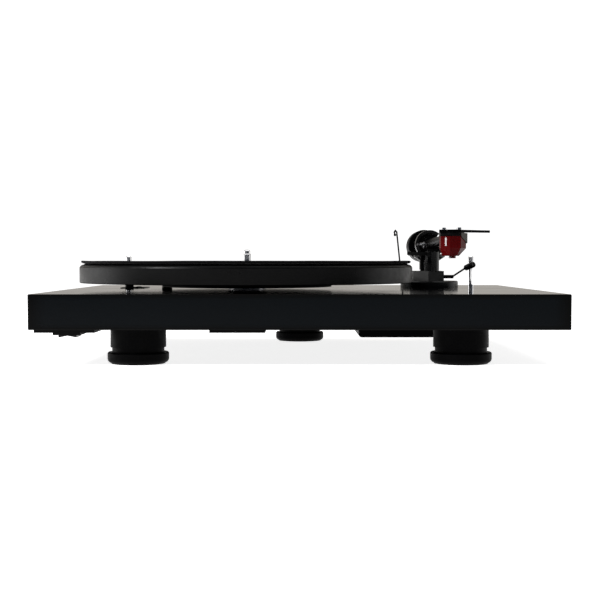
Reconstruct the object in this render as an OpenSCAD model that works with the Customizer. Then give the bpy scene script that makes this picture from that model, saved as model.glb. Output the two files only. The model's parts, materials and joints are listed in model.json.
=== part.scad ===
// Belt-drive record player: gloss plinth on three adjustable feet, steel platter on a
// sub-platter, straight pivoted tonearm, cue lift and a rocker switch under the front edge.
// Millimetres. X to the right seen from the front, Y to the rear, Z up from the shelf.

/* [Plinth] */
// Width of the plinth, side to side
plinth_w = 415; // [405:1:430]
// Depth of the plinth, front to back
plinth_d = 320; // [316:1:340]
// Thickness of the plinth
plinth_h = 27.4; // [26:0.2:32]
// Height of the plinth's underside above the shelf
plinth_z = 28; // [26:0.5:32]

/* [Platter] */
// Radius of the platter
platter_r = 150; // [148:0.5:150]
// Gap between the plinth's top and the platter's rim
platter_gap = 6; // [5:0.5:8]
// Height of the platter from the rim's lower edge to the mat
platter_h = 16.8; // [16:0.2:20]
// Thickness of the felt mat
mat_t = 2.6; // [1.5:0.1:3]
// Radius of the record spindle
spindle_r = 3.6; // [3.5:0.05:3.6]
// Radius of the sub-platter
sub_r = 77; // [70:1:80]

/* [Tonearm] */
// Height of the tilt axis above the shelf
pivot_z = 97.3; // [96:0.5:100]
// Stylus to vertical pivot
arm_length = 218.5; // [218.5:0.5:220]
// Angle of the headshell to the tube
offset_angle = 24.6; // [22:0.1:26]
// Upward slope of the stored tube
tube_slope = 1.2; // [0:0.1:2]
// Radius of the counterweight
weight_r = 16.3; // [14:0.1:17]

/* [Feet] */
// Radius of each foot's disc
foot_r = 24.2; // [22:0.1:26]
// Thickness of each foot's disc, pad included
foot_h = 9; // [8:0.5:11]

/* [Hidden] */
$fn = 96;

run_gap = 0.05;                       // radial clearance of every shaft that turns or slides
top_z = plinth_z + plinth_h;          // the plinth's top face
rim_z = top_z + platter_gap;          // lower edge of the platter's rim
plate_z = rim_z + platter_h;          // top of the platter, under the mat
mat_z = plate_z + mat_t;              // playing surface
spindle = [-48, 7];                   // main bearing, seen from above
motor = [-161, 44];                   // motor shaft
pivot = [129, 100];                   // vertical axis of the tonearm
tube_front = 196;                     // pivot to the tube's front end
foot_front = [127.7, -128];           // front feet, mirrored in X
foot_back = [0, 124];                 // rear foot
feet = [[-foot_front[0], foot_front[1]], foot_front, foot_back];
stylus_x = pivot[0] - arm_length * sin(2.6);
stylus_y = pivot[1] - arm_length * cos(2.6);
shell_z = 103.3;                      // underside of the headshell
stylus_z = 82.8;                      // stored height of the stylus tip

pulley_r = 6;                         // belt's step on the motor pulley
belt_z = 61;
belt_h = 4;
groove_r = sub_r - 1;

box_lo = [56.5, 55, 7.5];             // connector box under the rear right
box_hi = [130, 128, plinth_z];
cover_lo = [-76.4, -70, 20];          // control board's cover
cover_hi = [-29.2, 10, plinth_z];
switch_c = [-179.45, -140];           // middle of the rocker switch
rocker_z = 23.5;                      // rocker's axis

sleeve_r = 21.9;
neck_r = 20.5;
sleeve_z = 13;                        // lower edge of the fixed sleeves
hinge_x = 178.6;                      // dust cover's pins, mirrored in X
screw_y = 7.3;                        // cartridge screws behind the stylus

// ---------- helpers ----------

module turned(points) { rotate_extrude() polygon(points); }

module disc(r, z0, z1) { translate([0, 0, z0]) cylinder(r = r, h = z1 - z0); }

module ring(r_out, r_in, z0, z1) {
    difference() {
        disc(r_out, z0, z1);
        disc(r_in, z0 - 1, z1 + 1);
    }
}

module slab(lo, hi) { translate(lo) cube(hi - lo); }

module rod(a, b, r) {
    d = b - a;
    length = norm(d);
    translate(a) rotate([0, acos(d[2] / length), atan2(d[1], d[0])]) cylinder(r = r, h = length);
}

module at_spindle() { translate([spindle[0], spindle[1], 0]) children(); }

module at_motor() { translate([motor[0], motor[1], 0]) children(); }

module at_pivot() { translate([pivot[0], pivot[1], 0]) children(); }

// The tube's own frame: origin on the tilt axis, -Y along the tube to the headshell
module arm_frame() {
    translate([pivot[0], pivot[1], pivot_z]) rotate([-tube_slope, 0, 0]) children();
}

// The headshell's frame: origin under the stylus, -Y out of the front
module at_stylus() { translate([stylus_x, stylus_y, 0]) rotate([0, 0, -offset_angle]) children(); }

module each_foot() { for (p = feet) translate([p[0], p[1], 0]) children(); }

module motor_screw_places() {
    for (a = [-50, 50]) translate([12 * cos(a), 12 * sin(a), 0]) children();
}

module deck_screw_places() {
    for (x = [cover_lo[0] + 3, cover_hi[0] - 3], y = [cover_lo[1] + 3, cover_hi[1] - 3])
        translate([x, y, cover_lo[2]]) children();
    for (x = [box_lo[0] + 5, box_hi[0] - 5], y = [box_lo[1] + 6, box_hi[1] - 8])
        translate([x, y, box_lo[2]]) children();
}

// ---------- plinth and what is fixed in it ----------

module plinth() {
    r = 0.6;
    color("#101214") difference() {
        translate([0, 0, plinth_z + plinth_h / 2]) hull() {
            cube([plinth_w, plinth_d - 2 * r, plinth_h - 2 * r], center = true);
            cube([plinth_w - 2 * r, plinth_d, plinth_h - 2 * r], center = true);
            cube([plinth_w - 2 * r, plinth_d - 2 * r, plinth_h], center = true);
        }
        at_spindle() disc(10, plinth_z - 1, top_z + 1);
        at_motor() disc(20.5, plinth_z - 1, top_z - 2.4);
        at_motor() disc(5, plinth_z, top_z + 1);
        at_motor() motor_screw_places() disc(1.3, plinth_z, top_z + 1);
        each_foot() disc(6, plinth_z - 1, plinth_z + 14);
        deck_screw_places() disc(1.3, 0, 30);
        slab([cover_lo[0] + 6, cover_lo[1] + 6, plinth_z - 1], [cover_hi[0] - 6, -8, plinth_z + 6]);
        slab([switch_c[0] - 11, switch_c[1] - 12, plinth_z - 1],
             [switch_c[0] + 11, switch_c[1] + 12, plinth_z + 14]);
        translate([120, pivot[1], 0]) disc(4, plinth_z - 1, top_z + 1);
        for (x = [-hinge_x, hinge_x]) translate([x, plinth_d / 2 - 7, 0]) disc(3.4, plinth_z + 12, top_z + 1);
    }
}

module foot_sleeves() {
    color("#16171a") each_foot() {
        ring(sleeve_r, neck_r + 0.3, sleeve_z, plinth_z - 2);
        ring(sleeve_r, 5, plinth_z - 2, plinth_z);
    }
}

module foot_inserts() { color("#b08d4a") each_foot() ring(6, 4 + run_gap, plinth_z, plinth_z + 14); }

module bearing_housing() {
    color("#a8a9ad") at_spindle() turned([
        [0, plinth_z + 1], [10, plinth_z + 1], [10, top_z], [17, top_z], [17, top_z + 1.2],
        [16.4, top_z + 1.8], [8, top_z + 1.8], [8, plinth_z + 3], [0, plinth_z + 3]
    ]);
}

module bearing_bush() { color("#a9793c") at_spindle() ring(8, 5 + run_gap, plinth_z + 10, top_z + 1.6); }

module thrust_ball() {
    color("silver") at_spindle() translate([0, 0, plinth_z + 6]) sphere(r = 3);
}

module motor_can() {
    color("#9a9ca0") at_motor() difference() {
        union() {
            disc(16, top_z - 22, top_z - 2.4);
            disc(4, top_z - 3, top_z + 2.6);
        }
        disc(1 + run_gap, top_z - 16, top_z + 3);
        motor_screw_places() disc(1.3, top_z - 8, top_z);
    }
}

module motor_ring() { color("#1b1b1b") at_motor() ring(20.5, 16, top_z - 16, top_z - 8); }

module motor_plate() {
    color("#222326") difference() {
        slab([motor[0] - 5.6, motor[1] - 19, top_z], [motor[0] + 16.5, motor[1] + 19, top_z + 0.6]);
        at_motor() disc(4.1, top_z - 1, top_z + 2);
        at_motor() motor_screw_places() disc(1.3, top_z - 1, top_z + 2);
    }
}

module motor_screws() {
    color("#2c2c2e") at_motor() motor_screw_places() {
        disc(1.3, top_z - 8, top_z + 0.6);
        turned([[0, top_z + 0.6], [2.4, top_z + 0.6], [2.2, top_z + 1.1], [0, top_z + 1.2]]);
    }
}

module speed_sensor() {
    color("#151515") translate([-119.8, -3, 0]) turned([
        [0, top_z], [4.6, top_z], [4.6, top_z + 1.4], [4.2, top_z + 1.7], [0, top_z + 1.7]
    ]);
}

// Flat belt round the sub-platter's groove and the pulley, with its inner flats outside both
module belt_outline(r1, r2) {
    sides = 120;
    hull() {
        circle(r = r1 / cos(180 / sides), $fn = sides);
        translate(motor - spindle) circle(r = r2 / cos(180 / sides), $fn = sides);
    }
}

module drive_belt() {
    inner = 0.15;
    outer = 1;
    color("#111111") at_spindle() translate([0, 0, belt_z]) linear_extrude(belt_h) difference() {
        belt_outline(groove_r + outer, pulley_r + outer);
        belt_outline(groove_r + inner, pulley_r + inner);
    }
}

module control_board() {
    color("#1d5b34") slab([cover_lo[0] + 7, cover_lo[1] + 7, plinth_z - 2],
                          [cover_hi[0] - 7, -9, plinth_z - 0.4]);
}

module control_cover() {
    wall = 1.5;
    color("#17181a") difference() {
        slab(cover_lo, cover_hi);
        slab(cover_lo + [wall + 4.5, wall + 4.5, wall], cover_hi + [-wall - 4.5, -wall - 4.5, 1]);
        deck_screw_places() disc(1.3, -1, 20);
        deck_screw_places() disc(2.5, -1, 1.2);
    }
}

module deck_screws() {
    color("#303236") deck_screw_places() {
        disc(1.3, 1.2, 30);
        disc(2.5, 0, 1.2);
    }
}

module switch_plate() {
    color("#141516") difference() {
        union() {
            slab([switch_c[0] - 24.9, switch_c[1] - 14, 25.5], [switch_c[0] + 21.8, switch_c[1] + 14, plinth_z]);
            slab([switch_c[0] - 10.7, switch_c[1] - 12, 23.6], [switch_c[0] + 10.7, switch_c[1] + 12, 26]);
            slab([switch_c[0] - 9.5, switch_c[1] - 10.5, 26], [switch_c[0] + 9.5, switch_c[1] + 10.5, 40]);
        }
        slab([switch_c[0] - 7.5, switch_c[1] - 9.3, 20], [switch_c[0] + 7.5, switch_c[1] + 9.3, 38]);
    }
}

module box_profile(inset) {
    r = 3;
    lo = [box_lo[0] + inset, box_lo[2] + inset];
    hi = [box_hi[0] - inset, box_hi[2]];
    translate([lo[0], lo[1] + r]) square([hi[0] - lo[0], hi[1] - lo[1] - r]);
    translate([lo[0] + r, lo[1]]) square([hi[0] - lo[0] - 2 * r, r]);
    for (x = [lo[0] + r, hi[0] - r]) translate([x, lo[1] + r]) circle(r = r);
}

module connector_box() {
    wall = 1.8;
    color("#151618") difference() {
        translate([0, box_hi[1], 0]) rotate([90, 0, 0]) linear_extrude(box_hi[1] - box_lo[1]) box_profile(0);
        translate([0, box_hi[1] + 1, 0]) rotate([90, 0, 0])
            linear_extrude(box_hi[1] - box_lo[1] - wall) intersection() {
                box_profile(wall);
                translate([box_lo[0], 0]) square([100, box_hi[2] - 0.01]);
            }
        slab([box_lo[0] + 3, box_lo[1] + wall, box_hi[2] - 5], [box_hi[0] - 3, box_hi[1] + 1, box_hi[2] + 1]);
        deck_screw_places() disc(1.3, -1, 30);
        deck_screw_places() disc(2.5, -1, 1.2);
    }
}

socket_xs = [84, 99];
socket_z = 17;
panel_y = box_hi[1] - 1.8;

module along_rear(x, z, r, y0, y1) {
    translate([x, y1, z]) rotate([90, 0, 0]) cylinder(r = r, h = y1 - y0);
}

module connector_panel() {
    color("#1a1b1d") difference() {
        slab([box_lo[0] + 4, panel_y, box_lo[2] + 2], [box_hi[0] - 4, box_hi[1], box_hi[2] - 0.2]);
        for (x = socket_xs) along_rear(x, socket_z, 4.6, panel_y - 1, box_hi[1] + 1);
        along_rear(69, socket_z, 2, panel_y - 1, box_hi[1] + 1);
        slab([113.5, panel_y - 1, socket_z - 4.5], [122.5, box_hi[1] + 1, socket_z + 5]);
    }
}

module phono_sockets() {
    color("#c8a44d") for (x = socket_xs) difference() {
        union() {
            along_rear(x, socket_z, 4.15, box_hi[1] + 1.8, box_hi[1] + 9);
            along_rear(x, socket_z, 4.6, panel_y - 6, box_hi[1] + 1.8);
        }
        along_rear(x, socket_z, 1.6, box_hi[1] + 1, box_hi[1] + 10);
    }
}

module phono_collars() {
    for (i = [0, 1]) color(i == 0 ? "#d8d8d8" : "#b3202a") difference() {
        along_rear(socket_xs[i], socket_z, 5.6, box_hi[1], box_hi[1] + 1.6);
        along_rear(socket_xs[i], socket_z, 4.6, box_hi[1] - 1, box_hi[1] + 3);
    }
}

module dc_socket() {
    color("#121212") {
        difference() {
            slab([113.5, panel_y - 10, socket_z - 4.5], [122.5, box_hi[1] + 1, socket_z + 5]);
            along_rear(118, socket_z + 0.2, 3.2, box_hi[1] - 8, box_hi[1] + 2);
        }
        along_rear(118, socket_z + 0.2, 1, box_hi[1] - 8.5, box_hi[1] + 0.5);
    }
}

module ground_terminal() {
    color("#c9b06a") {
        along_rear(69, socket_z, 2, panel_y - 4, box_hi[1] + 9);
        translate([69, box_hi[1] + 7, socket_z]) rotate([90, 0, 0]) cylinder(r = 4.2, h = 5, $fn = 12);
    }
}

module hinge_pins() {
    color("silver") for (x = [-hinge_x, hinge_x]) translate([x, plinth_d / 2 - 7, 0]) turned([
        [0, plinth_z + 12], [3.4, plinth_z + 12], [3.4, top_z + 0.3], [3, top_z + 0.3],
        [3, 84.7], [2.3, 85.5], [0, 85.5]
    ]);
}

// ---------- tonearm support ----------

flange_top = top_z + 5.6;
block_top = flange_top + 9.8;
pillar_top = 80.5;
pillar_r = 9.8;
lever_c = [pivot[0], 92, 65.2];
lift_c = [119.8, 84.8];               // shaft of the lift rail
post_c = [129.6, 82.9];               // column that carries the arm's rest
post_top = 90.2;

module arm_flange() {
    color("#141518") at_pivot() difference() {
        turned([[0, top_z], [28.5, top_z], [28.5, flange_top - 1], [27.6, flange_top], [0, flange_top]]);
        disc(4, top_z - 1, flange_top + 1);
        translate([-9, 0, 0]) disc(4, top_z - 1, top_z + 2);
    }
}

module arm_block() {
    color("#1a1b1e") difference() {
        translate([0, 0, flange_top]) linear_extrude(block_top - flange_top) polygon([
            [pivot[0] - 17, 122], [pivot[0] - 17, 86], [pivot[0] - 3.8, 74], [pivot[0] + 12.9, 86],
            [pivot[0] + 12.9, 122]
        ]);
        at_pivot() disc(pillar_r, flange_top - 1, block_top + 1);
        translate([pivot[0] + 9, lever_c[1], lever_c[2]]) rotate([0, 90, 0]) cylinder(r = 1.8, h = 20);
        for (z = [flange_top + 3, flange_top + 7]) along_rear(pivot[0] - 9, z, 1.5, 116, 124);
        translate([lift_c[0], lift_c[1], 0]) disc(1.5 + run_gap, block_top - 6, block_top + 1);
    }
}

module arm_pillar() {
    color("#17181a") at_pivot() difference() {
        turned([
            [0, flange_top], [pillar_r, flange_top], [pillar_r, block_top], [pillar_r - 1.4, block_top],
            [pillar_r - 1.4, block_top + 1.2], [pillar_r, block_top + 1.4], [pillar_r, pillar_top - 0.8],
            [pillar_r - 0.8, pillar_top], [0, pillar_top]
        ]);
        disc(4 + run_gap, flange_top + 2, pillar_top + 1);
    }
}

module block_screws() {
    color("#3a3b3f") for (z = [flange_top + 3, flange_top + 7])
        along_rear(pivot[0] - 9, z, 1.5, 116, 121.6);
}

// The column's upper half is cut back to clear the bearing cup
module rest_column() {
    color("#1b1c1f") difference() {
        translate([post_c[0], post_c[1], 0]) turned([
            [0, block_top], [7, block_top], [7, post_top - 0.8], [6.2, post_top], [0, post_top]
        ]);
        at_pivot() disc(15.8, pillar_top + 0.2, post_top + 5);
    }
}

module arm_rest() {
    ledge_z = 92.3;
    color("#131416") {
        slab([125, 77.6, post_top], [135.6, 82.6, ledge_z]);
        slab([134.2, 77.6, ledge_z], [135.6, 82.6, 97.4]);
    }
}

module anti_skate_hoop() {
    path = [[104, 114, flange_top], [104, 114, 70], [101.4, 119, 80], [98.3, 120, 110],
            [96.9, 120, 111.6], [95.9, 120, 109.8], [96.5, 120, 107]];
    color("#26272a") {
        for (i = [0 : len(path) - 2]) rod(path[i], path[i + 1], 0.8);
        for (i = [1 : len(path) - 2]) translate(path[i]) sphere(r = 0.88);
        translate(path[6]) sphere(r = 1.3);
    }
}

// ---------- platter ----------

module axle() {
    color("#d6d7da") at_spindle() turned([
        [0, plinth_z + 9.1], [4.4, plinth_z + 9.1], [5, plinth_z + 9.8], [5, plate_z - 2.5],
        [spindle_r + 0.2, plate_z - 2.5], [spindle_r + 0.2, mat_z + 0.1], [spindle_r, mat_z + 0.1],
        [spindle_r, mat_z + 5.9], [2.9, mat_z + 6.5], [2.9, mat_z + 9], [2.2, mat_z + 9.9],
        [1, mat_z + 10.3], [0, mat_z + 10.3]
    ]);
}

module sub_platter() {
    base = top_z + 2.1;
    color("#121315") at_spindle() turned([
        [5, base + 0.4], [26, base + 0.4], [26, base], [sub_r, base], [sub_r, belt_z - 0.6],
        [groove_r, belt_z - 0.4], [groove_r, belt_z + belt_h + 0.4], [sub_r, belt_z + belt_h + 0.6],
        [sub_r, belt_z + belt_h + 1.6], [62, belt_z + belt_h + 1.6], [60, plate_z - 2.5],
        [48, plate_z - 2.5], [46, belt_z + belt_h], [16, belt_z + belt_h], [14, plate_z - 2.5],
        [5, plate_z - 2.5]
    ]);
}

module platter() {
    edge_z = rim_z + 13.4;
    color("#1a1b1d") at_spindle() turned([
        [spindle_r + 0.22, plate_z], [spindle_r + 0.22, plate_z - 2.5],
        [platter_r - 5, plate_z - 2.5], [platter_r - 4, edge_z - 1.4], [platter_r - 4, rim_z + 0.6],
        [platter_r - 3.4, rim_z], [platter_r - 0.6, rim_z], [platter_r, rim_z + 0.6],
        [platter_r, edge_z], [platter_r - 0.5, edge_z + 1], [platter_r - 1.5, edge_z + 2],
        [platter_r - 3, edge_z + 2.7], [platter_r - 4, edge_z + 2.8], [platter_r - 4.4, plate_z]
    ]);
}

module mat() { color("#0e0e0f") at_spindle() ring(platter_r - 1.4, spindle_r + 0.22, plate_z, mat_z); }

// ---------- motor pulley ----------

module motor_shaft() { color("silver") at_motor() disc(1, top_z - 14, belt_z + belt_h + 6); }

module drive_pulley() {
    z = belt_z;
    color("#c8b070") at_motor() turned([
        [1, z - 1.4], [pulley_r + 1.4, z - 1.4], [pulley_r + 1.4, z - 0.6], [pulley_r, z - 0.4],
        [pulley_r, z + belt_h + 0.4], [pulley_r + 2.1, z + belt_h + 0.6],
        [pulley_r + 2.1, z + belt_h + 4.6], [pulley_r + 3, z + belt_h + 4.8],
        [pulley_r + 3, z + belt_h + 5.4], [1, z + belt_h + 5.4]
    ]);
}

// ---------- tonearm ----------

ring_r = 14;
ring_hole = 10.2;

// Open on its right shoulder, so that the tube can be seen and reached through it
module yoke() {
    color("#151619") at_pivot() difference() {
        union() {
            turned([
                [0, 63.2], [4, 63.2], [4, pillar_top + 0.5], [pillar_r, pillar_top + 0.5],
                [15.5, 84.6], [15.5, 87], [15, 87.5], [0, 87.5]
            ]);
            translate([0, 4.5, pivot_z]) rotate([90, 0, 0]) cylinder(r = ring_r, h = 9);
        }
        translate([0, 6, pivot_z]) rotate([90, 0, 0]) cylinder(r = ring_hole, h = 12);
        translate([0, -4.5, pivot_z]) rotate([-90, 0, 0])
            translate([0, 0, -0.01]) cylinder(r1 = ring_hole + 0.8, r2 = ring_hole - 0.1, h = 0.9);
        translate([-20, 0, pivot_z]) rotate([0, 90, 0]) cylinder(r = 1.5 + run_gap, h = 40);
        translate([0, 6, pivot_z]) rotate([90, 0, 0]) linear_extrude(12)
            polygon([[0, 0], [30, 6.4], [30, 33], [0, 0.01]]);
        for (x = [-12.1, 12.1]) translate([x, -5, pivot_z + 0.001]) rotate([-90, 0, 0])
            cylinder(r = 1.1, h = 2.5);
    }
}

module yoke_screws() {
    color("silver") at_pivot() for (x = [-12.1, 12.1])
        translate([x, -4.8, pivot_z + 0.001]) rotate([-90, 0, 0]) cylinder(r = 1.1, h = 2.3);
}

module anti_skate_stub() {
    color("#2a2b2e") at_pivot() translate([0, 2.6, 88.6]) rotate([0, -90, 0]) {
        translate([0, 0, 12.6]) cylinder(r = 1, h = 7.6);
        translate([0, 0, 18.2]) cylinder(r = 1.9, h = 3.5);
    }
}

module bearing_hub() {
    color("#0f1011") arm_frame() difference() {
        translate([-4.2, -6, -6.9]) cube([8.4, 12, 13.8]);
        rotate([0, 90, 0]) cylinder(r = 1.5, h = 20, center = true);
        translate([0, -2.5, 0]) rotate([90, 0, 0]) cylinder(r = 3.4, h = 10);
        translate([0, 2.5, 0]) rotate([-90, 0, 0]) cylinder(r = 3.2, h = 10);
    }
}

module tilt_axle() {
    color("silver") arm_frame() rotate([0, 90, 0]) cylinder(r = 1.5, h = 27, center = true);
}

module arm_tube() {
    color("#16171a") arm_frame() {
        translate([0, -6, 0]) rotate([90, 0, 0]) cylinder(r1 = 4.75, r2 = 4.2, h = tube_front - 6);
        translate([0, -2.5, 0]) rotate([90, 0, 0]) cylinder(r = 3.4, h = 3.5);
    }
}

module rear_stub() {
    color("#b9babd") arm_frame() {
        translate([0, 6, 0]) rotate([-90, 0, 0]) cylinder(r = 4, h = 52);
        translate([0, 2.5, 0]) rotate([-90, 0, 0]) cylinder(r = 3.2, h = 3.5);
    }
}

module shell_outline() {
    translate([-5, -3]) square([10, 30]);
    translate([-8, 0]) square([16, 14]);
    for (x = [-5, 5]) translate([x, 0]) circle(r = 3);
    polygon([[-8, 14], [8, 14], [4.6, 27], [-4.6, 27]]);
}

module headshell() {
    color("#131416") difference() {
        union() {
            at_stylus() translate([0, 0, shell_z]) linear_extrude(2.5) shell_outline();
            hull() {
                at_stylus() translate([-4.6, 22, shell_z]) cube([9.2, 4, 2.4]);
                arm_frame() translate([0, -tube_front, 0]) rotate([90, 0, 0])
                    cylinder(r = 4.2, h = 0.8, $fn = 32);
            }
        }
        arm_frame() translate([0, 0.01 - tube_front, 0]) rotate([-90, 0, 0]) cylinder(r = 6, h = 20);
        at_stylus() for (x = [-6.35, 6.35]) translate([x, screw_y, 0]) disc(1.3, shell_z - 4, shell_z + 4);
    }
}

module finger_lift() {
    color("#1c1d20") at_stylus() difference() {
        hull() {
            translate([8, 3, shell_z + 0.2]) cube([0.5, 4.6, 2.2]);
            translate([30, 5.4, shell_z - 0.3]) cylinder(r = 2, h = 1.9, $fn = 24);
        }
        translate([26.5, 5.4, shell_z + 11.1]) sphere(r = 9.6, $fn = 32);
    }
}

// The body and the stylus unit meet along a seam that runs down to the rear
module cartridge_body() {
    plan = [[1.7, -3], [9.3, 3.5], [9.3, 21], [-9.3, 21], [-9.3, 3.3], [-6.7, -1.5]];
    color("#1c1c1e") at_stylus() difference() {
        union() {
            translate([0, 0, shell_z - 2.6]) linear_extrude(2.6) polygon(plan);
            rotate([90, 0, 90]) translate([0, 0, -9.3]) linear_extrude(18.6) polygon([
                [4.1, shell_z - 2.6], [4.1, 100.1], [20.2, 95], [21, 95.6], [21, shell_z - 2.6]
            ]);
        }
        for (x = [-6.35, 6.35]) translate([x, screw_y, 0]) disc(1.3, shell_z - 6, shell_z + 1);
    }
}

module stylus_unit() {
    top = shell_z - 2.7;
    color("#a01c20") at_stylus() {
        difference() {
            hull() {
                translate([0, 0, 91]) linear_extrude(top - 91) polygon([
                    [1.6, -2.6], [8.9, 3.6], [8.9, 18.4], [-8.9, 18.4], [-8.9, 3.4], [-6.3, -1.1]
                ]);
                translate([0, 0, 84.8]) linear_extrude(0.5) polygon([
                    [1.4, -1.6], [5.7, 2.4], [5.7, 9], [-5.2, 9], [-5.6, 0.4]
                ]);
            }
            rotate([90, 0, 90]) translate([0, 0, -12]) linear_extrude(24) polygon([
                [3.9, 103], [3.9, 99.9], [22, 94.2], [22, 103]
            ]);
        }
        translate([-2.2, 8, 82.9]) cube([4.2, 4.6, 2.9]);
    }
}

module stylus() {
    color("silver") at_stylus() {
        rod([0, 8, 84.1], [0, 0.2, stylus_z + 0.7], 0.35);
        translate([0, 0, stylus_z]) cylinder(r1 = 0.05, r2 = 0.3, h = 0.9);
    }
}

module cartridge_screws() {
    color("silver") at_stylus() for (x = [-6.35, 6.35]) translate([x, screw_y, 0]) {
        disc(1.3, shell_z - 2.2, shell_z + 2.5);
        disc(2.2, shell_z + 2.5, shell_z + 4.3);
    }
}

// Its bore is off centre, which hangs the mass low and to one side
module counterweight() {
    color("#1d1e20") arm_frame() rotate([-90, 0, 0]) difference() {
        translate([-1.2, 0.3, 0]) turned([
            [0, 34.2], [10.6, 34.2], [11.4, 33], [weight_r - 1, 33], [weight_r, 34],
            [weight_r, 56.4], [weight_r - 1, 57.4], [11.4, 57.4], [10.6, 56.2], [0, 56.2]
        ]);
        disc(4 + run_gap, 30, 60);
    }
}

// ---------- cue lever and lift ----------

module cue_lever() {
    shaft_end = [pivot[0] + 22, lever_c[1], lever_c[2]];
    color("#1b1c1e") {
        translate([pivot[0] + 9.4, lever_c[1], lever_c[2]]) rotate([0, 90, 0]) cylinder(r = 1.75, h = 13.6);
        rod(shaft_end, [158.2, 53.5, 74], 0.9);
    }
}

module cue_knob() { color("#121213") rod([158.2, 53.5, 74], [164.6, 44.2, 77.5], 2.8); }

module lift_rail() {
    rail_z = 86;
    color("#18191b") {
        at_pivot() translate([0, 0, rail_z]) difference() {
            cylinder(r = 34, h = 3.3);
            translate([0, 0, -1]) cylinder(r = 30, h = 6);
            translate([0, 0, -1]) linear_extrude(6) polygon([
                [0, 0], 60 * [-sin(9), -cos(9)], [60, -60], [60, 60], [-60, 60], [-60, -20],
                60 * [-sin(43.5), -cos(43.5)]
            ]);
        }
        translate([lift_c[0], lift_c[1], 0]) disc(1.5, block_top - 5, rail_z + 2);
        slab([lift_c[0] - 2.2, 70, rail_z], [lift_c[0] + 1, lift_c[1], rail_z + 2]);
    }
}

// ---------- rocker switch ----------

module power_rocker() {
    color("#0f0f10") translate([switch_c[0], switch_c[1] + 8.9, rocker_z]) rotate([90, 0, 0])
        linear_extrude(17.8) difference() {
            circle(r = 7.1);
            polygon([[-6.84, -1.9], [0, -0.6], [6.84, -1.9], [8, -8], [-8, -8]]);
        }
}

// ---------- feet ----------

module foot(p) {
    color("#1b1c1f") translate([p[0], p[1], 0]) turned([
        [0, 0.4], [foot_r - 2.9, 0.4], [foot_r - 1.4, 1.1], [foot_r - 0.4, 2.3], [foot_r, 3.6],
        [foot_r, foot_h - 0.8],
        [foot_r - 0.8, foot_h], [neck_r, foot_h], [neck_r, 22], [4, 22], [4, 38], [0, 38]
    ]);
}

module foot_pad(p) { color("#2b2b2b") translate([p[0], p[1], 0]) disc(foot_r - 3, 0, 0.4); }

module foot_left() { foot(feet[0]); }
module foot_right() { foot(feet[1]); }
module foot_rear() { foot(feet[2]); }
module foot_pad_left() { foot_pad(feet[0]); }
module foot_pad_right() { foot_pad(feet[1]); }
module foot_pad_rear() { foot_pad(feet[2]); }

plinth();
foot_sleeves();
foot_inserts();
bearing_housing();
bearing_bush();
thrust_ball();
motor_can();
motor_ring();
motor_plate();
motor_screws();
speed_sensor();
drive_belt();
control_board();
control_cover();
deck_screws();
switch_plate();
connector_box();
connector_panel();
phono_sockets();
phono_collars();
dc_socket();
ground_terminal();
hinge_pins();
arm_flange();
arm_block();
arm_pillar();
block_screws();
rest_column();
arm_rest();
anti_skate_hoop();
axle();
sub_platter();
platter();
mat();
motor_shaft();
drive_pulley();
yoke();
yoke_screws();
anti_skate_stub();
bearing_hub();
tilt_axle();
arm_tube();
rear_stub();
headshell();
finger_lift();
cartridge_body();
stylus_unit();
stylus();
cartridge_screws();
counterweight();
cue_lever();
cue_knob();
lift_rail();
power_rocker();
foot_left();
foot_right();
foot_rear();
foot_pad_left();
foot_pad_right();
foot_pad_rear();
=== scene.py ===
"""Looks of the record player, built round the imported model. Metres, +Z up, +Y to the rear."""

import json
import math

import bmesh
import bpy
from mathutils import Matrix, Vector


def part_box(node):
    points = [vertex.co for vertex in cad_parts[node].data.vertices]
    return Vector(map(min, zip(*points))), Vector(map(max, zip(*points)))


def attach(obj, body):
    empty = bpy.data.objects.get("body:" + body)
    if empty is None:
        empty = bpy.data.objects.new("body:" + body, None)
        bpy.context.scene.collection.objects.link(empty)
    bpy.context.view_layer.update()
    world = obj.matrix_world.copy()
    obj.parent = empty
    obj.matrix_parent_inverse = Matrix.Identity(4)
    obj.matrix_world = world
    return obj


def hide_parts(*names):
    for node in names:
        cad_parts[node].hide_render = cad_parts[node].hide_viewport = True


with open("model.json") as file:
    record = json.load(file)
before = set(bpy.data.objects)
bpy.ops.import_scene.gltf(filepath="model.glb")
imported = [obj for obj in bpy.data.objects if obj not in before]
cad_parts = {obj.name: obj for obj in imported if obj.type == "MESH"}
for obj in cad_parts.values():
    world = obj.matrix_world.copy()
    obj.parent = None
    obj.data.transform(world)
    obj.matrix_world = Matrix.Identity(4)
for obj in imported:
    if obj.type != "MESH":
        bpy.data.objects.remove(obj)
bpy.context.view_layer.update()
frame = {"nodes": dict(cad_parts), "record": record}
NODES = frame["nodes"]
SLOT_OF = {s["node"]: s["material_slot"] for s in frame["record"]["subparts"]}
MM = 0.001


# ---------- places taken from the frame ----------


def middle(node):
    lo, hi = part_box(node)
    return (lo + hi) / 2


PLINTH_LO, PLINTH_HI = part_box("plinth")
MAT_LO, MAT_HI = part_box("mat")
OFFSET_ANGLE = math.radians(24.6)
SHELL_TURN = Matrix.Rotation(-OFFSET_ANGLE, 4, "Z")
SCREW_X = 6.35 * MM                   # cartridge screws, in the headshell's frame
SCREW_Y = 7.3 * MM
CARTRIDGE_BACK = 21 * MM


def shell_frame():
    """The headshell's frame: X across it, -Y out of its front, Z = 0 at the shelf."""
    screws = middle("cartridge_screws")
    origin = Vector((screws.x, screws.y, 0)) - SHELL_TURN @ Vector((0, SCREW_Y, 0))
    return Matrix.Translation(origin) @ SHELL_TURN


# ---------- materials ----------


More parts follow.
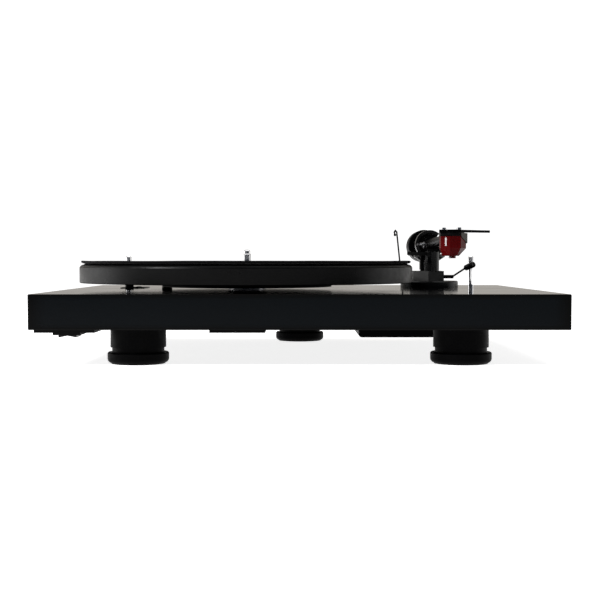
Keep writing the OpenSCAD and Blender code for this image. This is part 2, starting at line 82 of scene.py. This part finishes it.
class Shader:
    """A Principled material and the few node chains that the finishes are made from."""

    def __init__(self, name, color, rough, metal=0.0, **inputs):
        self.mat = bpy.data.materials.new(name)
        self.mat.use_nodes = True
        self.tree = self.mat.node_tree
        self.bsdf = self.tree.nodes["Principled BSDF"]
        self.set("Base Color", (*color, 1))
        self.set("Roughness", rough)
        self.set("Metallic", metal)
        for key, value in inputs.items():
            self.set(key.replace("_", " "), value)
        self.coords = self.node("ShaderNodeTexCoord").outputs["Object"]

    def set(self, socket, value):
        self.bsdf.inputs[socket].default_value = value

    def node(self, kind, **values):
        made = self.tree.nodes.new(kind)
        for key, value in values.items():
            if hasattr(made, key):
                setattr(made, key, value)
            else:
                made.inputs[key.replace("_", " ")].default_value = value
        return made

    def link(self, out, into):
        self.tree.links.new(out, into)

    def stretched(self, scale):
        mapping = self.node("ShaderNodeMapping")
        mapping.inputs["Scale"].default_value = scale
        self.link(self.coords, mapping.inputs["Vector"])
        return mapping.outputs["Vector"]

    def noise(self, scale, detail=3.0, stretch=None):
        made = self.node("ShaderNodeTexNoise", Scale=scale, Detail=detail)
        self.link(self.stretched(stretch) if stretch else self.coords, made.inputs["Vector"])
        return made.outputs["Fac"]

    def ranged(self, value, low, high, from_low=0.3, from_high=0.7):
        made = self.node("ShaderNodeMapRange")
        self.link(value, made.inputs["Value"])
        made.inputs["From Min"].default_value = from_low
        made.inputs["From Max"].default_value = from_high
        made.inputs["To Min"].default_value = low
        made.inputs["To Max"].default_value = high
        return made.outputs["Result"]

    def math(self, operation, a, b=None):
        made = self.node("ShaderNodeMath", operation=operation)
        for socket, value in zip(made.inputs, (a, b)):
            if isinstance(value, (int, float)):
                socket.default_value = value
            elif value is not None:
                self.link(value, socket)
        return made.outputs["Value"]

    def rough_by(self, value, low, high):
        """Roughness between low and high."""
        self.link(self.ranged(value, low, high), self.bsdf.inputs["Roughness"])

    def color_by(self, value, dark, light, low=0.3, high=0.7):
        """Base colour from dark to light as the value goes from low to high."""
        ramp = self.node("ShaderNodeValToRGB")
        ramp.color_ramp.elements[0].position = low
        ramp.color_ramp.elements[0].color = (*dark, 1)
        ramp.color_ramp.elements[1].position = high
        ramp.color_ramp.elements[1].color = (*light, 1)
        self.link(value, ramp.inputs["Fac"])
        self.link(ramp.outputs["Color"], self.bsdf.inputs["Base Color"])

    def bump_by(self, value, strength, distance):
        """Relief of the given depth, in metres."""
        made = self.node("ShaderNodeBump", Strength=strength, Distance=distance)
        self.link(value, made.inputs["Height"])
        self.link(made.outputs["Normal"], self.bsdf.inputs["Normal"])


def shade(color, factor):
    return tuple(min(1, c * factor) for c in color)


def lacquer(name):
    """Deep gloss with a painted reflection: a touch bluer and lighter in the middle of each panel than at its
    edges.
    """
    edge, painted_reflection_color = (0.0001, 0.0001, 0.0001), (0.0013, 0.0022, 0.0031)
    s = Shader(name, painted_reflection_color, 0.06, Specular_IOR_Level=0.04)
    split = s.node("ShaderNodeSeparateXYZ")
    s.link(s.coords, split.inputs["Vector"])
    half_w = (PLINTH_HI.x - PLINTH_LO.x) / 2
    mid_z = (PLINTH_HI.z + PLINTH_LO.z) / 2
    half_h = (PLINTH_HI.z - PLINTH_LO.z) / 2
    across = s.math("ABSOLUTE", split.outputs["X"])
    up = s.math("ABSOLUTE", s.math("SUBTRACT", split.outputs["Z"], mid_z))
    inside_x = s.ranged(across, 1, 0, half_w - 14 * MM, half_w - 1 * MM)
    inside_z = s.ranged(up, 1, 0, half_h - 4.5 * MM, half_h - 0.6 * MM)
    # painted reflection: each panel's middle lighter and bluer, darker towards its edges
    panel = s.math("MULTIPLY", inside_x, inside_z)
    cloud = s.ranged(s.noise(6, 4), 0.8, 1.15)
    s.color_by(s.math("MULTIPLY", panel, cloud), edge, painted_reflection_color, 0, 1)
    s.rough_by(s.noise(22, 6), 0.05, 0.1)
    s.bump_by(s.noise(9, 2), 0.04, 0.04 * MM)
    return s.mat


def satin_metal(name, color, rough, level):
    s = Shader(name, color, rough, Specular_IOR_Level=level)
    s.color_by(s.noise(35, 5), shade(color, 0.8), shade(color, 1.25))
    s.rough_by(s.noise(160, 4), rough * 0.85, rough * 1.2)
    s.bump_by(s.noise(2600, 2), 0.12, 0.04 * MM)
    return s.mat


def turned_metal(name, color, rough=0.25):
    """Bare metal with the fine rings that a lathe leaves."""
    s = Shader(name, color, rough, 1.0)
    grain = s.noise(120, 6, (1, 1, 60))
    s.color_by(grain, shade(color, 0.82), color)
    s.rough_by(grain, rough * 0.75, rough * 1.35)
    s.bump_by(grain, 0.1, 0.03 * MM)
    return s.mat


def chrome(name):
    s = Shader(name, (0.86, 0.86, 0.87), 0.05, 1.0)
    s.rough_by(s.noise(300, 5), 0.03, 0.09)
    s.color_by(s.noise(40, 3), (0.8, 0.8, 0.81), (0.9, 0.9, 0.91))
    return s.mat


def moulded(name, color, rough=0.5, grain=0.25, level=0.25):
    s = Shader(name, color, rough, Specular_IOR_Level=level)
    s.color_by(s.noise(60, 4), shade(color, 0.82), shade(color, 1.2))
    s.rough_by(s.noise(500, 4), rough * 0.85, min(1, rough * 1.15))
    s.bump_by(s.noise(1500, 3), grain, 0.06 * MM)
    return s.mat


def felt(name):
    color = (0.002, 0.002, 0.0022)
    s = Shader(name, color, 0.95, Specular_IOR_Level=0.03, Sheen_Weight=0.04, Sheen_Roughness=0.5)
    fibres = s.noise(900, 8)
    s.color_by(fibres, shade(color, 0.5), shade(color, 1.9))
    s.bump_by(fibres, 0.7, 0.5 * MM)
    return s.mat


def carbon(name):
    """Yarns in a checked weave, one dark and one a little lighter."""
    dark, light = (0.0003, 0.0003, 0.0004), (0.0014, 0.0014, 0.0016)
    s = Shader(name, light, 0.28, Specular_IOR_Level=0.012)
    yarn = s.node("ShaderNodeTexChecker", Scale=420.0)
    s.link(s.stretched((1, 0.7, 1)), yarn.inputs["Vector"])
    yarn.inputs["Color1"].default_value = (*dark, 1)
    yarn.inputs["Color2"].default_value = (*light, 1)
    s.link(yarn.outputs["Color"], s.bsdf.inputs["Base Color"])
    s.rough_by(s.noise(700, 3), 0.2, 0.4)
    s.bump_by(yarn.outputs["Fac"], 0.15, 0.03 * MM)
    return s.mat


def tinted(name, color, rough, level):
    s = Shader(name, color, rough, Specular_IOR_Level=level)
    s.color_by(s.noise(70, 3), shade(color, 0.75), shade(color, 1.2))
    s.rough_by(s.noise(250, 4), rough * 0.7, rough * 1.4)
    s.bump_by(s.noise(400, 2), 0.05, 0.03 * MM)
    return s.mat


def board(name):
    s = Shader(name, (0.01, 0.09, 0.035), 0.3, Coat_Weight=0.4)
    s.color_by(s.noise(260, 1), (0.006, 0.05, 0.02), (0.015, 0.13, 0.05), 0.45, 0.55)
    s.bump_by(s.noise(260, 1), 0.2, 0.05 * MM)
    return s.mat


MATERIALS = {
    "piano_lacquer": lacquer("piano_lacquer"),
    "satin_black": satin_metal("satin_black", (0.0008, 0.0008, 0.0009), 0.32, 0.095),
    "matte_black": moulded("matte_black", (0.0012, 0.0012, 0.0013), 0.5, 0.25, 0.06),
    "gloss_black": tinted("gloss_black", (0.002, 0.002, 0.0023), 0.14, 0.1),
    "felt": felt("felt"),
    "rubber_black": moulded("rubber_black", (0.002, 0.002, 0.002), 0.75, 0.4, 0.08),
    "chrome": chrome("chrome"),
    "steel": turned_metal("steel", (0.55, 0.55, 0.56)),
    "anodised": satin_metal("anodised", (0.0014, 0.0014, 0.0016), 0.26, 0.2),
    "bare_aluminium": turned_metal("bare_aluminium", (0.72, 0.72, 0.73), 0.3),
    "bronze": turned_metal("bronze", (0.42, 0.26, 0.12), 0.4),
    "brass": turned_metal("brass", (0.75, 0.57, 0.27), 0.22),
    "board_green": board("board_green"),
    "carbon": carbon("carbon"),
    "red_plastic": tinted("red_plastic", (0.065, 0.0015, 0.002), 0.22, 0.03),
    "collar": moulded("collar", (0.6, 0.6, 0.6), 0.35, 0.1),
}


# finishes of single nodes that differ from the rest of their slot
FINISH = {
    "feet": satin_metal("satin_feet", (0.0009, 0.0009, 0.001), 0.42, 0.025),
    # painted light: the black arm block gets a grey colour that stands for the light on its lit faces
    "block": moulded("block_painted_light", (0.055, 0.055, 0.054), 0.6, 0.2, 0.02),
    "pale": moulded("pale_print", (0.5, 0.47, 0.47), 0.5, 0.1),
    "sheath_red": moulded("sheath_red", (0.35, 0.02, 0.02), 0.4, 0.1),
    "sheath_white": moulded("sheath_white", (0.6, 0.6, 0.58), 0.4, 0.1),
    "sheath_green": moulded("sheath_green", (0.02, 0.2, 0.06), 0.4, 0.1),
    "sheath_blue": moulded("sheath_blue", (0.02, 0.06, 0.3), 0.4, 0.1),
}
# the arm block takes the grey painted-light finish
NODE_FINISH = {"arm_block": "block"}
for dull_node in ("counterweight", "connector_box", "foot_sleeves", "foot_left", "foot_right", "foot_rear"):
    NODE_FINISH[dull_node] = "feet"


def dress(obj, material, angle):
    """One material all over, smooth but for edges sharper than the angle."""
    obj.data.materials.clear()
    obj.data.materials.append(material)
    for polygon in obj.data.polygons:
        polygon.use_smooth = True
        polygon.material_index = 0
    obj.data.set_sharp_from_angle(angle=math.radians(angle))


for node_name, node_object in NODES.items():
    own = NODE_FINISH.get(node_name)
    dress(node_object, FINISH[own] if own else MATERIALS[SLOT_OF[node_name]], 32)


# ---------- mesh helpers ----------


def piece(name, bm, body, slot, material=None, replaces=(), angle=35):
    """A finished object that rides on a body and takes its finish from a slot."""
    mesh = bpy.data.meshes.new(name)
    bmesh.ops.recalc_face_normals(bm, faces=bm.faces)
    bm.to_mesh(mesh)
    bm.free()
    obj = bpy.data.objects.new(name, mesh)
    bpy.context.scene.collection.objects.link(obj)
    dress(obj, material or MATERIALS[slot], angle)
    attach(obj, body)
    if replaces:
        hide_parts(*replaces)
    return obj


def lathe(profile, segments, bm=None, place=None):
    """Turns (radius, height) points about Z; a radius of 0 closes the end."""
    bm = bm or bmesh.new()
    place = place or Matrix.Identity(4)
    rings = []
    for r, z in profile:
        if r < 1e-7:
            rings.append([bm.verts.new(place @ Vector((0, 0, z)))])
            continue
        turn = [2 * math.pi * i / segments for i in range(segments)]
        rings.append([bm.verts.new(place @ Vector((r * math.cos(a), r * math.sin(a), z))) for a in turn])
    for low, high in zip(rings, rings[1:]):
        for i in range(segments):
            j = (i + 1) % segments
            corners = [low[i % len(low)], low[j % len(low)], high[j % len(high)], high[i % len(high)]]
            unique = list(dict.fromkeys(corners))
            if len(unique) > 2:
                bm.faces.new(unique)
    return bm


def aimed(start, direction):
    """A matrix whose Z runs along direction from start."""
    turn = Vector(direction).to_track_quat("Z", "Y").to_matrix().to_4x4()
    return Matrix.Translation(start) @ turn


def tube(points, radius, sides, bm=None):
    """A round tube with closed ends along a smooth curve through the points."""
    bm = bm or bmesh.new()
    path = catmull(points, 6) if len(points) > 2 else points
    normal = None
    rings = []
    for i, p in enumerate(path):
        along = (path[min(i + 1, len(path) - 1)] - path[max(i - 1, 0)]).normalized()
        if normal is None:
            normal = along.orthogonal().normalized()
        normal = (normal - along * normal.dot(along)).normalized()
        side = along.cross(normal)
        angles = [2 * math.pi * k / sides for k in range(sides)]
        rings.append([bm.verts.new(p + radius * (math.cos(a) * normal + math.sin(a) * side)) for a in angles])
    for low, high in zip(rings, rings[1:]):
        for k in range(sides):
            m = (k + 1) % sides
            bm.faces.new([low[k], low[m], high[m], high[k]])
    bm.faces.new(rings[0][::-1])
    bm.faces.new(rings[-1])
    return bm


def catmull(points, steps):
    """Points along a curve that passes through all the given ones."""
    ends = [2 * points[0] - points[1]] + points + [2 * points[-1] - points[-2]]
    out = []
    for a, b, c, d in zip(ends, ends[1:], ends[2:], ends[3:]):
        for i in range(steps):
            t = i / steps
            out.append(0.5 * (2 * b + (c - a) * t + (2 * a - 5 * b + 4 * c - d) * t**2
                              + (3 * b - 3 * c + d - a) * t**3))
    return out + [points[-1]]


def block(bm, lo, hi, bevel, place=None):
    """A box between two corners with rounded edges."""
    place = place or Matrix.Identity(4)
    made = bmesh.ops.create_cube(bm, size=1.0)
    size = Vector(hi) - Vector(lo)
    centre = (Vector(hi) + Vector(lo)) / 2
    for v in made["verts"]:
        v.co = Vector((v.co.x * size.x, v.co.y * size.y, v.co.z * size.z)) + centre
    edges = list({e for v in made["verts"] for e in v.link_edges})
    rounded = bmesh.ops.bevel(bm, geom=edges, offset=bevel, segments=3, affect="EDGES", profile=0.5)
    for v in {v for f in rounded["faces"] for v in f.verts} | {v for v in made["verts"] if v.is_valid}:
        v.co = place @ v.co
    return bm


# ---------- detail pieces ----------


def felt_mat():
    """The mat with a soft edge that lifts a little here and there, and a hole worn round."""
    centre = middle("mat")
    outer = (MAT_HI.x - MAT_LO.x) / 2
    thick = MAT_HI.z - MAT_LO.z
    hole = 3.84 * MM
    lifting_from = outer * 0.965
    segments = 256
    # (radius, share of the thickness), from the hole's foot over the top and back underneath
    profile = [(hole, 0.0), (hole, 0.8), (4.4 * MM, 1.0)]
    profile += [(outer * f, 1.0) for f in (0.1, 0.3, 0.5, 0.7, 0.85, 0.93, 0.97, 0.985)]
    profile += [(outer - 0.9 * MM, 0.98), (outer - 0.3 * MM, 0.88), (outer, 0.62), (outer - 0.25 * MM, 0.3)]
    profile += [(outer - 1.2 * MM, 0.12), (outer - 4.2 * MM, 0.0), (outer * 0.5, 0.0)]
    bm = lathe([(r, share * thick) for r, share in profile], segments)
    bm.verts.ensure_lookup_table()
    last_ring = (len(profile) - 1) * segments
    for k in range(segments):
        m = (k + 1) % segments
        bm.faces.new([bm.verts[last_ring + k], bm.verts[last_ring + m], bm.verts[m], bm.verts[k]])
    for v in bm.verts:
        r = math.hypot(v.co.x, v.co.y)
        a = math.atan2(v.co.y, v.co.x)
        edge = max(0.0, (r - lifting_from) / (outer - lifting_from)) ** 2
        wave = 0.5 + 0.5 * math.sin(3 * a + 1.1) * math.sin(7 * a + 0.4)
        v.co.z += edge * wave * 0.5 * MM
        v.co.z -= (1 - edge) * 0.04 * MM * (1 + math.sin(11 * a) * math.sin(90 * r))
        v.co += Vector((centre.x, centre.y, MAT_LO.z))
    piece("felt_mat", bm, "platter_set", "felt", replaces=("mat",), angle=60)


def cue_grip():
    """The lever's knob: a turned grip with rounded ends and two fine rings."""
    lo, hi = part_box("cue_knob")
    radius = 2.8 * MM
    axis = Vector((6.4, -9.3, 3.5)).normalized()
    length = (hi.x - lo.x - 2 * radius * math.sqrt(1 - axis.x**2)) / axis.x
    place = aimed((lo + hi) / 2 - axis * length / 2, axis)
    # (share of the radius, share of the length)
    steps = [(0, 0), (0.62, 0), (0.86, 0.02), (0.97, 0.07), (0.97, 0.1), (0.9, 0.12), (0.9, 0.14)]
    steps += [(0.97, 0.16), (1, 0.2), (1, 0.78), (0.93, 0.8), (0.93, 0.83), (1, 0.85), (1, 0.93)]
    steps += [(0.94, 0.98), (0.84, 1.0), (0.5, 0.985), (0, 0.98)]
    bm = lathe([(radius * r, length * z) for r, z in steps], 48, place=place)
    piece("cue_grip", bm, "cue", SLOT_OF["cue_knob"], replaces=("cue_knob",), angle=40)


def print_bar():
    """A plain pale upright bar on the stylus unit's left facet."""
    facet_left, facet_right = Vector((-6.3, -1.1, 0)) * MM, Vector((1.6, -2.6, 0)) * MM
    along = (facet_right - facet_left).normalized()
    up = Vector((0, 0, 1))
    half_w, height, proud = 0.75 * MM, 6.6 * MM, 0.05 * MM
    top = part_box("stylus_unit")[1].z - 1.2 * MM
    base = facet_left.lerp(facet_right, 0.56) + up * (top - height / 2)
    turn = Matrix((along, along.cross(up), up)).transposed().to_4x4()
    bm = block(bmesh.new(), (-half_w, -proud, -height / 2), (half_w, proud, height / 2), 0.03 * MM,
               shell_frame() @ Matrix.Translation(base) @ turn)
    piece("print_bar", bm, "tonearm", "collar", FINISH["pale"])


def lead_wires():
    """Four fine leads with slip-on sleeves, from the cartridge's pins into the tube."""
    place = shell_frame()
    pin_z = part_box("cartridge_body")[1].z - 5.6 * MM
    wire_r, sleeve_r, sleeve_long = 0.28 * MM, 0.62 * MM, 3 * MM
    leads = [("red", 3.6, 0.0), ("green", 3.6, -2.6), ("white", -3.6, 0.0), ("blue", -3.6, -2.6)]
    for i, (name, x, z) in enumerate(leads):
        start = Vector((x * MM, CARTRIDGE_BACK + 0.2 * MM, pin_z + z * MM))
        side = 1 if x > 0 else -1
        bends = [Vector((0, 3.2, 0)), Vector((side * (1.2 + 0.4 * i), 5.2, -0.6)),
                 Vector((side * 0.3, 8.2, 0.4 - 0.3 * i))]
        end = Vector((-0.6 + 0.5 * i, 9.6, 0.2 - 0.5 * i)) * MM + Vector((0, CARTRIDGE_BACK, pin_z))
        points = [place @ p for p in (start, *(start + bend * MM for bend in bends), end)]
        bm = tube(points, wire_r, 8)
        tube([points[0], place @ (start + Vector((0, sleeve_long, 0)))], sleeve_r, 12, bm)
        piece("lead_" + name, bm, "tonearm", "rubber_black", FINISH["sheath_" + name])


def hex_socket(bm, place, radius):
    """A shallow hexagonal recess drawn as a rim and a sunken floor, to lie on a screw's head."""
    count = 24
    depth = 0.05 * MM
    turns = [2 * math.pi * k / count for k in range(count)]
    corners = [2 * math.pi * (k // 4) / 6 + (k % 4) * math.pi / 12 for k in range(count)]

    def ring(angles, r, z):
        return [bm.verts.new(place @ Vector((r * math.cos(a), r * math.sin(a), z))) for a in angles]

    rim = ring(turns, radius * 1.35, 0.0)
    edge = ring(corners, radius, depth)
    sunken = ring(turns, radius * 0.8, depth * 0.3)
    for k in range(count):
        m = (k + 1) % count
        bm.faces.new([rim[k], rim[m], edge[m], edge[k]])
        bm.faces.new([edge[k], edge[m], sunken[m], sunken[k]])
    bm.faces.new(sunken)
    bm.faces.new(rim[::-1])


def screw_recesses():
    """Hexagonal sockets in the cartridge screws and in the block's clamp screws, painted dark as shade: too
    shallow to shade themselves.
    """
    bm = bmesh.new()
    head_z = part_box("cartridge_screws")[1].z
    for x in (-SCREW_X, SCREW_X):
        hex_socket(bm, Matrix.Translation(shell_frame() @ Vector((x, SCREW_Y, head_z))), 0.9 * MM)
    piece("shell_screw_sockets", bm, "tonearm", "matte_black", angle=20)
    bm = bmesh.new()
    lo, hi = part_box("block_screws")
    radius = (hi.x - lo.x) / 2
    for z in (lo.z + radius, hi.z - radius):
        hex_socket(bm, aimed(((lo.x + hi.x) / 2, hi.y, z), (0, 1, 0)), 0.75 * MM)
    piece("block_screw_sockets", bm, "deck", "matte_black", angle=20)


def phono_insulators():
    """White insulating rings set in the mouths of the two phono sockets."""
    lo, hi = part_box("phono_sockets")
    socket_r = 4.6 * MM
    rings = [(1.7, 0.0), (1.7, 0.62), (1.95, 0.72), (3.3, 0.72), (3.5, 0.62), (3.5, 0.0)]
    bm = bmesh.new()
    for x in (lo.x + socket_r, hi.x - socket_r):
        place = aimed((x, hi.y - 0.6 * MM, (lo.z + hi.z) / 2), (0, 1, 0))
        lathe([(r * MM, z * MM) for r, z in rings], 48, bm, place)
    piece("phono_insulators", bm, "deck", "collar", FINISH["pale"], angle=40)


def rest_lining():
    """A thin rubber saddle on the arm's rest."""
    lo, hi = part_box("arm_rest")
    ledge_z = 92.3 * MM
    bm = block(bmesh.new(), (lo.x + 0.6 * MM, lo.y + 0.5 * MM, ledge_z),
               (hi.x - 1.7 * MM, hi.y - 0.5 * MM, ledge_z + 0.2 * MM), 0.08 * MM)
    piece("rest_lining", bm, "deck", "rubber_black")


felt_mat()
cue_grip()
print_bar()
lead_wires()
screw_recesses()
phono_insulators()
rest_lining()


# ---------- camera, floor and light ----------

CAMERA_AWAY = 0.841                   # in front of the plinth's front face
EYE_HEIGHT = 0.081
EYE_X = 0.0003
LENS_MM = 66.27
LOOKING_DOWN = math.radians(2.04)


def studio_camera():
    camera = bpy.data.objects.new("camera", bpy.data.cameras.new("camera"))
    bpy.context.scene.collection.objects.link(camera)
    camera.data.sensor_width = 36
    camera.data.lens = LENS_MM
    camera.data.clip_start = 0.01
    camera.location = (EYE_X, PLINTH_LO.y - CAMERA_AWAY, EYE_HEIGHT)
    camera.rotation_euler = (math.pi / 2 - LOOKING_DOWN, 0, 0)
    bpy.context.scene.camera = camera
    bpy.context.scene.view_settings.view_transform = "Standard"


def floor():
    """A plain pale floor that also glows, so that it stays white under the deck."""
    bm = bmesh.new()
    bmesh.ops.create_grid(bm, x_segments=1, y_segments=1, size=12)
    mesh = bpy.data.meshes.new("floor")
    bm.to_mesh(mesh)
    bm.free()
    obj = bpy.data.objects.new("floor", mesh)
    bpy.context.scene.collection.objects.link(obj)
    s = Shader("floor", (0.93, 0.93, 0.93), 0.9, Specular_IOR_Level=0.0,
               Emission_Color=(1, 1, 1, 1), Emission_Strength=0.85)
    s.color_by(s.noise(3, 2), (0.92, 0.92, 0.92), (0.94, 0.94, 0.94))
    obj.data.materials.append(s.mat)


def studio_world():
    """White seen directly; for reflections, dim in front of the deck and brighter behind and above."""
    world = bpy.data.worlds.new("studio")
    bpy.context.scene.world = world
    world.use_nodes = True
    tree = world.node_tree
    tree.nodes.clear()
    new = tree.nodes.new
    out = new("ShaderNodeOutputWorld")
    seen = new("ShaderNodeBackground")
    seen.inputs["Color"].default_value = (1, 1, 1, 1)
    seen.inputs["Strength"].default_value = 1.1
    around = new("ShaderNodeBackground")
    mix = new("ShaderNodeMixShader")
    path = new("ShaderNodeLightPath")
    coords = new("ShaderNodeTexCoord")
    split = new("ShaderNodeSeparateXYZ")
    ramp = new("ShaderNodeValToRGB")
    stops = ramp.color_ramp.elements
    stops[0].color = (0.05, 0.055, 0.065, 1)
    stops[1].color = (0.5, 0.475, 0.44, 1)
    stops.new(0.35).color = (0.1, 0.105, 0.115, 1)
    stops.new(0.6).color = (0.3, 0.29, 0.28, 1)
    half = new("ShaderNodeMapRange")
    half.inputs["From Min"].default_value = -1
    link = tree.links.new
    link(coords.outputs["Generated"], split.inputs["Vector"])
    link(split.outputs["Y"], half.inputs["Value"])
    link(half.outputs["Result"], ramp.inputs["Fac"])
    link(ramp.outputs["Color"], around.inputs["Color"])
    link(path.outputs["Is Camera Ray"], mix.inputs["Fac"])
    link(around.outputs["Background"], mix.inputs[1])
    link(seen.outputs["Background"], mix.inputs[2])
    link(mix.outputs["Shader"], out.inputs["Surface"])


def area_light(name, place, aim, size, power):
    light = bpy.data.objects.new(name, bpy.data.lights.new(name, "AREA"))
    bpy.context.scene.collection.objects.link(light)
    light.data.shape = "RECTANGLE"
    light.data.size, light.data.size_y = size
    light.data.energy = power
    light.location = place
    light.rotation_euler = (Vector(aim) - Vector(place)).to_track_quat("-Z", "Y").to_euler()
    light.visible_camera = False


studio_camera()
floor()
studio_world()
area_light("overhead", (0.0, 0.1, 1.5), (0, 0, 0.05), (2.2, 1.6), 12)
area_light("left_panel", (-1.6, 0.35, 0.4), (-0.1, 0.05, 0.06), (1.0, 0.8), 5)
area_light("right_panel", (1.6, 0.35, 0.4), (0.1, 0.1, 0.06), (1.0, 0.8), 3)
area_light("key", (-1.3, -0.7, 1.0), (0.1, 0.05, 0.08), (0.35, 0.35), 28)
